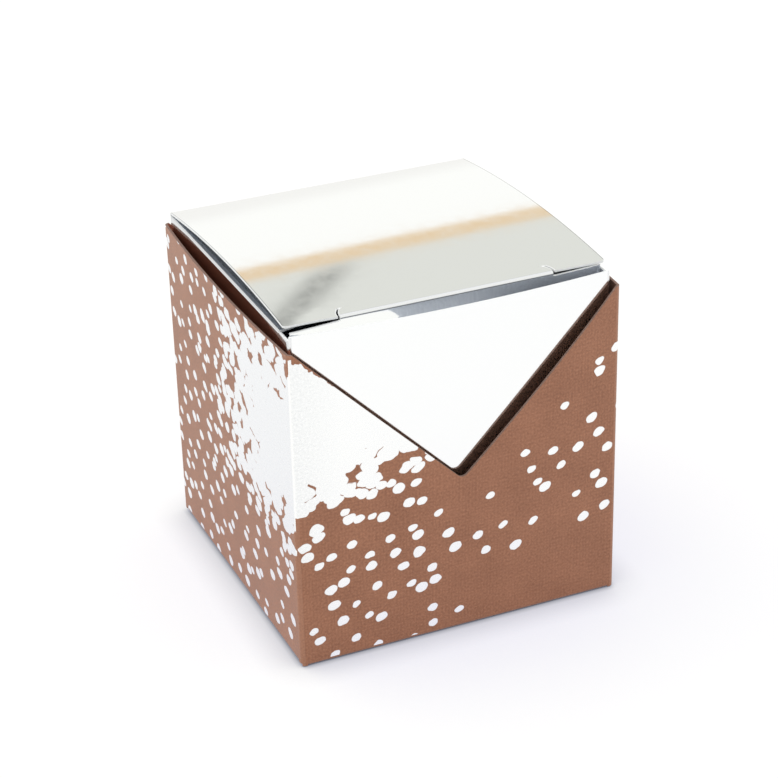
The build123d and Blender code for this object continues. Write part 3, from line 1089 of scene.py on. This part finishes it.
def slit_stepped(place, crease):
    """Bends the lid's ends away from its middle along the slits' hooks."""
    curl_end = crease - slit_hook * math.sin(slit_curl)

    def stepped(flat, depth):
        s, w = flat.T
        run = np.clip((crease - s) / slit_hook, 0, math.sin(slit_curl))
        past = np.abs(w) - (half_hinged - slit_hook + slit_hook * np.sqrt(1 - run ** 2))
        share = np.clip((s - curl_end) / (crease - curl_end), 0, 1)
        fade = np.clip(1 - past / slit_spread, 0, 1) ** 2
        step = np.where(past > 0, share * fade, 0) * np.where(w < 0, *slit_step)
        return place(flat, depth) + np.outer(step, [0, 0, 1])

    return stepped


def hook_fibres(crease):
    """Torn fibres along the slits' hooks."""
    reach = slit_hook * math.sin(slit_curl)

    def mark(at):
        s, w, _ = at.parts()
        behind = crease - s
        beside = abs(w) - (half_hinged - slit_hook)
        radius = (behind * behind + beside * beside).calc("SQRT")
        bare = abs(radius - slit_hook).spread(HOOK_BARE, HOOK_BARE / 2)
        ends = behind.spread(reach, reach + HOOK_BARE, 1.0, 0.0) * behind.spread(-HOOK_BARE, 0.0)
        return bare * ends * (beside > 0)

    return mark


def lid_rim_reflection(at):
    """Rim along the lid's ends, painted darker as a painted dim reflection in the edges' rounding."""
    return abs(at.parts()[1]).spread(half_lid - LID_RIM, half_lid - LID_RIM / 3)


def lid_panel(path, parted):
    back_fold, front_fold = path.folds
    start, crease = back_fold.start, front_fold.start
    on_lid = parted.s > back_fold.end
    slit = np.interp(-slit_back, -parted.points[on_lid, 0], parted.s[on_lid])
    half_slit = slit_width / 2
    curl = np.linspace(0, slit_curl, CORNER_FACETS + 1)

    def hook(radius):
        """One side of the slit's curl into the lid."""
        s, w = crease - radius * np.sin(curl), half_hinged - slit_hook + radius * np.cos(curl)
        return np.column_stack([s, w])

    half = np.array([
        *rounded([(start, 0), (start, half_lid), (slit, half_lid), (slit, 0)], {2: lid_corner})[1:-1],
        (slit, half_hinged + half_slit),
        *hook(slit_hook + half_slit),
        *hook(slit_hook - half_slit)[::-1],
    ])
    outline = np.vstack([half, half[::-1] * [1, -1]])
    s_lines = [*fold_lines(back_fold), *lines_between(back_fold.end, crease, LID_STEP)]
    s_lines += [crease - CREASE_MARGIN, crease]
    lines = (s_lines, lines_between(-half_lid, half_lid, WALL_STEP))
    place = slit_stepped(across_x(parted, carton_shift), crease)
    # The lid's rim carries a painted dim reflection.
    marks = [(hook_fibres(crease), CORE_LIGHT, HOOK_ROUGH, 1.0), (lid_rim_reflection, MIRROR_DIM_REFLECTION, 0.0, 0.0)]
    card = mirror_card("mirror_card_lid", MIRROR, marks)
    piece = make_card("lid_panel", outline, lines, place, card, [(0, start), (0, crease)], [back_fold])
    path_points(path, start)
    path_points(path, back_fold.end)
    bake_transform(piece)


def eased(w, places, values):
    """Values at some places, with a soft change from one to the next."""
    step = np.interp(w, places, range(len(places)))
    whole = np.floor(step)
    part = step - whole
    return np.interp(whole + part ** 2 * (3 - 2 * part), range(len(values)), values)


def tuck_flared(place, crease):
    """Flares the tuck flap forwards just below its crease."""
    run = tuck_flare_end - tuck_flare_length

    def flared(flat, depth):
        s, w = flat.T
        slope = eased(w, tuck_flare_at, tuck_flare_slope)
        curl = eased(w, tuck_flare_at, tuck_flare_curl)
        down = np.clip(s - crease, 0, tuck_flare_length)
        flare = slope * down + curl * down ** 2
        steep = (slope + 2 * curl * down) * run
        t = np.clip((s - crease - tuck_flare_length) / run, 0, 1)
        flare = flare * (1 + 2 * t) * (1 - t) ** 2 + steep * t * (1 - t) ** 2
        flare *= 1 - tuck_flare_loss * (w / half_tuck) ** 8
        return place(flat, depth) - np.outer(flare, [0, 1, 0])

    return flared


def lid_tuck(path):
    fold = path.folds[1]
    shoulder = fold.middle + shoulder_drop
    left, right = (shoulder + slope for slope in shoulder_slope)
    points = [
        (fold.start, -half_neck), (shoulder, -half_neck), (left, -half_tuck), (path.end, -half_tuck),
        (path.end, half_tuck), (right, half_tuck), (shoulder, half_neck), (fold.start, half_neck),
    ]
    outline = rounded(points, {3: tuck_corner, 4: tuck_corner})
    flare_end = fold.end + tuck_flare_end
    s_lines = [*lines_between(fold.end, flare_end, FLARE_STEP), flare_end]
    s_lines += panel_lines(flare_end, path.end, fold)
    lines = (s_lines, lines_between(-half_tuck, half_tuck, WALL_STEP))
    place = tuck_flared(across_x(path, carton_shift), fold.end)
    # Painted dark reflection and shade: a dark grey line along the crease.
    line = dark_line(fold.end - TUCK_DARK_WIDTH, fold.end)
    card = mirror_card("mirror_card_tuck", MIRROR, [(line, TUCK_DARK_REFLECTION, DARK_LINE_ROUGH, 0.0)])
    piece = make_card("lid_tuck", outline, lines, place, card, [(0, fold.start)], [fold])
    path_points(path, fold.start)
    path_points(path, fold.end)
    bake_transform(piece)


lid_line, parted_line = lid_paths()
dust_line = dust_path()
pocket_walls()
pocket_bottom()
carton_walls(lid_line)
carton_bottom(dust_line)
lid_dust_flaps(dust_line)
lid_panel(lid_line, parted_line)
lid_tuck(lid_line)


# Camera at the photograph's viewing angle

CAMERA_PLACE = Vector((-118.333, -278.011, 182.061)) * MM
CAMERA_AZIMUTH = math.radians(-23.087)
CAMERA_ELEVATION = math.radians(27.141)
CAMERA_ROLL = math.radians(-1.504)
CAMERA_LENS = 105.53
CAMERA_NEAR = 0.005

camera_data = bpy.data.cameras.new("camera")
camera_data.lens = CAMERA_LENS
camera_data.clip_start = CAMERA_NEAR
view = Matrix.Translation(CAMERA_PLACE)
for angle, axis in ((CAMERA_AZIMUTH, "Z"), (math.pi / 2 - CAMERA_ELEVATION, "X"), (CAMERA_ROLL, "Z")):
    view = view @ Matrix.Rotation(angle, 4, axis)
camera = new_object("camera", camera_data)
camera.matrix_world = view
bpy.context.scene.camera = camera


# Plain white floor and soft light

BLACK = (0.0, 0.0, 0.0, 1.0)
FLOOR_SIZE = 6.0
FLOOR_LEVEL = -2e-5
FLOOR_COLOUR = (0.75, 0.75, 0.75, 1.0)
FLOOR_SHADED = (0.42, 0.38, 0.20, 1.0)  # the share of the floor's white that shows the shadow
FLOOR_GLOW = (0.58, 0.615, 0.80, 1.0)
CONTACT = ((0.006, 0.45), (0.001, 0.5))  # contact shadow on the floor, wide and close: reach and power


def seen_directly(tree):
    """1 for rays that show the backdrop: from the camera, off metal or through glass."""
    path = add(tree, "LightPath").outputs
    seen = Value(tree, path["Is Camera Ray"]).most(path["Is Glossy Ray"])
    return seen.most(path["Is Transmission Ray"])


def make_floor():
    material, tree = empty_material("floor_white")
    plain = add(tree, "BsdfDiffuse", {"Color": FLOOR_COLOUR})
    clear = 1.0
    for reach, power in CONTACT:
        near = made(tree, "AmbientOcclusion", {"Distance": reach}, "AO")
        clear = near.calc("POWER", power) * clear
    clear = clear.most(made(tree, "LightPath", output="Is Glossy Ray"))
    shaded = add(tree, "BsdfDiffuse", {"Color": clear.mix(BLACK, FLOOR_SHADED)})
    glow = add(tree, "Emission", {"Color": FLOOR_GLOW, "Strength": clear})
    shown = add(tree, "AddShader", {0: shaded.outputs[0], 1: glow.outputs[0]})
    floor = add(tree, "MixShader", {0: seen_directly(tree), 1: plain.outputs[0], 2: shown.outputs[0]})
    add(tree, "OutputMaterial", {"Surface": floor.outputs[0]})
    mesh = bpy.data.meshes.new("floor")
    half = FLOOR_SIZE / 2
    corners = [(x * half, y * half, FLOOR_LEVEL) for x, y in ((-1, -1), (1, -1), (1, 1), (-1, 1))]
    mesh.from_pydata(corners, [], [(0, 1, 2, 3)])
    mesh.materials.append(material)
    new_object("floor", mesh)


# Backdrop that the mirror card shows: white, a sloping tan band, grey above it, white overhead, and a dim
# upright streak in the grey. Heights are in the sine of the elevation.

LOW_COLOUR = rgb(246, 245, 241)
WHITE_COLOUR = rgb(255, 255, 251)
BAND_COLOUR = rgb(231, 207, 172)
GREY_COLOUR = rgb(224, 225, 218)
OVERHEAD_COLOUR = rgb(255, 255, 255)
BACK_STOPS = (
    (0.27, LOW_COLOUR), (0.32, WHITE_COLOUR), (0.500, WHITE_COLOUR), (0.509, BAND_COLOUR),
    (0.538, BAND_COLOUR), (0.547, GREY_COLOUR), (0.92, GREY_COLOUR), (0.96, OVERHEAD_COLOUR),
)
BACK_SLOPE = 0.3
BACK_TURN = -0.25  # plain white from here to the front
BACK_STRENGTH = 1.03
STREAK_SIDE = 0.409  # sideways over forwards
STREAK_EDGE = (0.003, 0.014)
STREAK_FOOT = (0.435, 0.475)
STREAK_DIM = 0.5
LIGHT_COLOUR = (0.96, 0.98, 1.0, 1.0)
LIGHT_STRENGTH = 1.0
LAMP_PLACE = (-0.22, 0.2, 0.6)
LAMP_TARGET = (0, 0, 0.02)
LAMP_SIZE = 0.45
LAMP_POWER = 1.1


def make_world():
    world = bpy.data.worlds.new("studio")
    bpy.context.scene.world = world
    world.use_nodes = True
    tree = world.node_tree
    tree.nodes.clear()
    side, forward, height = made(tree, "TexCoord", output="Generated").parts()
    ramp = add(tree, "ValToRGB", {0: side * BACK_SLOPE + height})
    stops = ramp.color_ramp.elements
    for stop, (place, colour) in zip((stops[0], stops[-1]), (BACK_STOPS[0], BACK_STOPS[-1])):
        stop.position, stop.color = place, colour
    for place, colour in BACK_STOPS[1:-1]:
        stops.new(place).color = colour
    streak = abs(side - forward * STREAK_SIDE).spread(*STREAK_EDGE, STREAK_DIM, 0.0)
    streak = streak * height.spread(*STREAK_FOOT) * (forward > 0)
    bands = forward.spread(0.0, BACK_TURN).mix(ramp.outputs[0], WHITE_COLOUR)
    room = add(tree, "Background", {"Color": streak.mix(bands, BLACK), "Strength": BACK_STRENGTH})
    light = add(tree, "Background", {"Color": LIGHT_COLOUR, "Strength": LIGHT_STRENGTH})
    shown = add(tree, "MixShader", {0: seen_directly(tree), 1: light.outputs[0], 2: room.outputs[0]})
    add(tree, "OutputWorld", {"Surface": shown.outputs[0]})


def add_lamp():
    data = bpy.data.lights.new("key", "AREA")
    data.size = LAMP_SIZE
    data.energy = LAMP_POWER
    lamp = new_object("key", data)
    lamp.location = LAMP_PLACE
    lamp.rotation_euler = (Vector(LAMP_TARGET) - lamp.location).to_track_quat("-Z", "Y").to_euler()
    lamp.visible_glossy = False


make_floor()
make_world()
add_lamp()
bpy.context.scene.view_settings.view_transform = "Standard"
